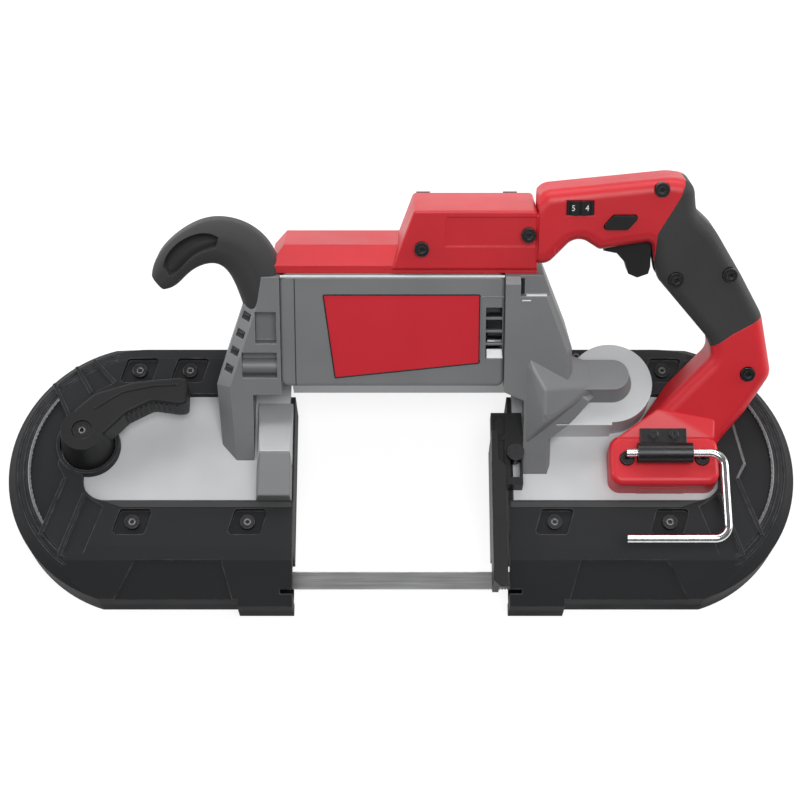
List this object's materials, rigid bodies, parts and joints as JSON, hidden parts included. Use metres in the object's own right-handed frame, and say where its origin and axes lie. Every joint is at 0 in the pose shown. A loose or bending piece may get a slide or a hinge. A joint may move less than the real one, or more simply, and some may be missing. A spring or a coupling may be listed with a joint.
{
  "type": "portable band saw",
  "caption": "Battery portable band saw: two guarded wheels joined by a bridge, toothed band across an open throat, tilted motor housing, rear pistol handle, front horn handle and rafter hook.",
  "frame": {"origin": "middle of the bounding box's foot: the level of the guards' back rims, on which the saw lies", "axes": "+X along the saw from the tension wheel to the drive wheel, +Y from the cutting run of the band towards the handles, +Z out of the deck towards the viewer"},
  "size_m": [0.5134, 0.2632, 0.1576],
  "materials": {
    "plate_metal": "fine cast satin",
    "housing_metal": "grey satin casting",
    "guard_plastic": "finely textured moulding",
    "black_plastic": "satin moulding",
    "red_plastic": "finely textured moulding",
    "red_plate": "smooth satin, left bare",
    "grip_rubber": "soft matt grip",
    "black_screw": "black oxide",
    "contact_brass": "plain contact strip",
    "hook_steel": "bright plated rod",
    "blade_steel": "ground band",
    "wheel_metal": "turned casting",
    "wheel_rubber": "smooth tyre band",
    "shaft_steel": "machined"
  },
  "bodies": {
    "frame": {"main_frame": "plate_metal", "left_guard": "guard_plastic", "right_guard": "guard_plastic", "guard_screws": "black_screw", "motor_housing": "housing_metal", "label_plate": "red_plate", "side_bracket": "housing_metal", "gear_case": "housing_metal", "gear_cover": "plate_metal", "gear_back_plate": "plate_metal", "top_cover": "red_plastic", "handle_front": "red_plastic", "handle_rear": "red_plastic", "rear_grip": "grip_rubber", "handle_screws": "black_screw", "switch_body": "black_plastic", "battery_rail": "black_plastic", "battery_terminals": "contact_brass", "front_handle": "grip_rubber", "left_guide_block": "black_plastic", "right_guide_block": "black_plastic", "shoe_clamp": "black_screw", "hook_clip": "black_screw", "hook_clip_screws": "black_screw", "blade": "blade_steel", "shaft_bearings": "shaft_steel", "stator": "shaft_steel", "tension_rails": "shaft_steel", "tension_spring": "shaft_steel"},
    "drive": {"drive_wheel": "wheel_metal", "drive_tyre": "wheel_rubber", "drive_axle": "shaft_steel", "drive_nut": "shaft_steel", "output_gear": "shaft_steel"},
    "pinion": {"pinion_shaft": "shaft_steel", "bevel_gear": "shaft_steel"},
    "counter": {"countershaft": "shaft_steel"},
    "motor_rotor": {"rotor": "shaft_steel", "cooling_fan": "black_plastic"},
    "tension_slide": {"tension_carriage": "shaft_steel", "idler_axle": "shaft_steel"},
    "idler": {"idler_wheel": "wheel_metal", "idler_tyre": "wheel_rubber", "idler_bearings": "shaft_steel"},
    "lever": {"tension_lever": "black_plastic", "lever_screw": "black_screw", "tension_cam": "shaft_steel"},
    "trigger_body": {"trigger": "black_plastic"},
    "lock": {"lock_button": "black_plastic"},
    "dial": {"speed_dial": "black_plastic"},
    "hook": {"hang_hook": "hook_steel"},
    "shoe": {"work_shoe": "black_plastic"},
    "left_roller_front_body": {"left_roller_front": "shaft_steel"},
    "left_roller_back_body": {"left_roller_back": "shaft_steel"},
    "left_backup_roller_body": {"left_backup_roller": "shaft_steel"},
    "right_roller_front_body": {"right_roller_front": "shaft_steel"},
    "right_roller_back_body": {"right_roller_back": "shaft_steel"},
    "right_backup_roller_body": {"right_backup_roller": "shaft_steel"}
  },
  "joints": [
    {"name": "drive_spin", "type": "hinge", "parent": "frame", "child": "drive", "pos_m": [0.1677, -0.04232, 0.012], "axis": [0, 0, 1], "continuous": true},
    {"name": "pinion_spin", "type": "hinge", "parent": "frame", "child": "pinion", "pos_m": [0.13608, 0.00867, 0.025], "axis": [0, 0, 1], "continuous": true},
    {"name": "counter_spin", "type": "hinge", "parent": "frame", "child": "counter", "pos_m": [0.0825, 0.00867, 0.05373], "axis": [1, 0, 0], "continuous": true},
    {"name": "rotor_spin", "type": "hinge", "parent": "frame", "child": "motor_rotor", "pos_m": [0, 0.03621, 0.06198], "axis": [1, 0, 0], "continuous": true},
    {"name": "tension_lever_swing", "type": "hinge", "parent": "frame", "child": "lever", "pos_m": [-0.2035, -0.02782, 0.05], "axis": [0, 0, 1], "range_deg": [0, 180]},
    {"name": "tension_travel", "type": "slide", "parent": "frame", "child": "tension_slide", "axis": [1, 0, 0], "range_m": [0, 0.005], "deforming": ["tension_spring"]},
    {"name": "idler_spin", "type": "hinge", "parent": "tension_slide", "child": "idler", "pos_m": [-0.1677, -0.04232, 0.012], "axis": [0, 0, 1], "continuous": true},
    {"name": "trigger_pull", "type": "slide", "parent": "frame", "child": "trigger_body", "axis": [1, 0, 0], "range_m": [0, 0.007], "stiffness_N_per_m": 900, "springref_m": -0.004},
    {"name": "lock_push", "type": "slide", "parent": "frame", "child": "lock", "axis": [0, -0.6428, 0.766], "range_m": [-0.003, 0.003]},
    {"name": "dial_turn", "type": "hinge", "parent": "frame", "child": "dial", "pos_m": [0.1115, 0.10333, 0.13135], "axis": [0, 0.766, 0.6428], "range_deg": [-30, 150]},
    {"name": "hook_swing", "type": "hinge", "parent": "frame", "child": "hook", "pos_m": [0.1685, -0.04082, 0.0625], "axis": [-1, 0, 0], "range_deg": [0, 110]},
    {"name": "shoe_slide", "type": "slide", "parent": "frame", "child": "shoe", "axis": [0, 1, 0], "range_m": [0, 0.012]},
    {"name": "left_roller_front_spin", "type": "hinge", "parent": "frame", "child": "left_roller_front_body", "pos_m": [-0.086, -0.11629, 0.01969], "axis": [0, 0.766, 0.6428], "continuous": true},
    {"name": "left_roller_back_spin", "type": "hinge", "parent": "frame", "child": "left_roller_back_body", "pos_m": [-0.086, -0.10774, 0.00951], "axis": [0, 0.766, 0.6428], "continuous": true},
    {"name": "left_backup_spin", "type": "hinge", "parent": "frame", "child": "left_backup_roller_body", "pos_m": [-0.086, -0.10306, 0.02212], "axis": [0, -0.6428, 0.766], "continuous": true},
    {"name": "right_roller_front_spin", "type": "hinge", "parent": "frame", "child": "right_roller_front_body", "pos_m": [0.084, -0.11629, 0.01969], "axis": [0, 0.766, 0.6428], "continuous": true},
    {"name": "right_roller_back_spin", "type": "hinge", "parent": "frame", "child": "right_roller_back_body", "pos_m": [0.084, -0.10774, 0.00951], "axis": [0, 0.766, 0.6428], "continuous": true},
    {"name": "right_backup_spin", "type": "hinge", "parent": "frame", "child": "right_backup_roller_body", "pos_m": [0.084, -0.10306, 0.02212], "axis": [0, -0.6428, 0.766], "continuous": true}
  ],
  "couplings": [
    {"joint": "pinion_spin", "follows": "drive_spin", "ratio": -4},
    {"joint": "counter_spin", "follows": "drive_spin", "ratio": 10.4},
    {"joint": "rotor_spin", "follows": "drive_spin", "ratio": -19.5},
    {"joint": "idler_spin", "follows": "drive_spin", "ratio": 1},
    {"joint": "tension_lever_swing", "follows": "tension_travel", "rad_per_m": 628.32},
    {"joint": "left_roller_front_spin", "follows": "drive_spin", "ratio": -12.567},
    {"joint": "left_roller_back_spin", "follows": "drive_spin", "ratio": 12.567},
    {"joint": "left_backup_spin", "follows": "drive_spin", "ratio": 15.08},
    {"joint": "right_roller_front_spin", "follows": "drive_spin", "ratio": -12.567},
    {"joint": "right_roller_back_spin", "follows": "drive_spin", "ratio": 12.567},
    {"joint": "right_backup_spin", "follows": "drive_spin", "ratio": 15.08}
  ]
}
